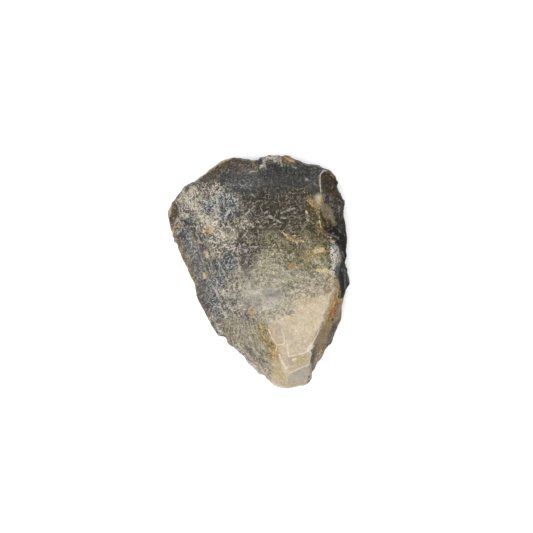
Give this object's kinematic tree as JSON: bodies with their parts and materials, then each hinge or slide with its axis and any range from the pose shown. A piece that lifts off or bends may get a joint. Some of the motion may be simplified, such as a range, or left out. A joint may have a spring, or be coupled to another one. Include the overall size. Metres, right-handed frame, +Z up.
{
  "type": "flint nodule",
  "caption": "Struck flint nodule: a flat pear-shaped stone with a broad flaked face, steep flaked sides, chipped edges, a blunt tip and a rough rind underneath.",
  "frame": {"origin": "on the surface the stone rests on, under the middle of its outline", "axes": "+Z up out of the struck face, through the stone's thickness; +Y along its length, from the blunt tip towards the broad butt; +X to the right when it is seen from above with the butt away"},
  "size_m": [0.0622, 0.08, 0.0189],
  "materials": {
    "flint": "waxy smooth fracture"
  },
  "bodies": {
    "root": {"flint_nodule": "flint"}
  },
  "joints": []
}
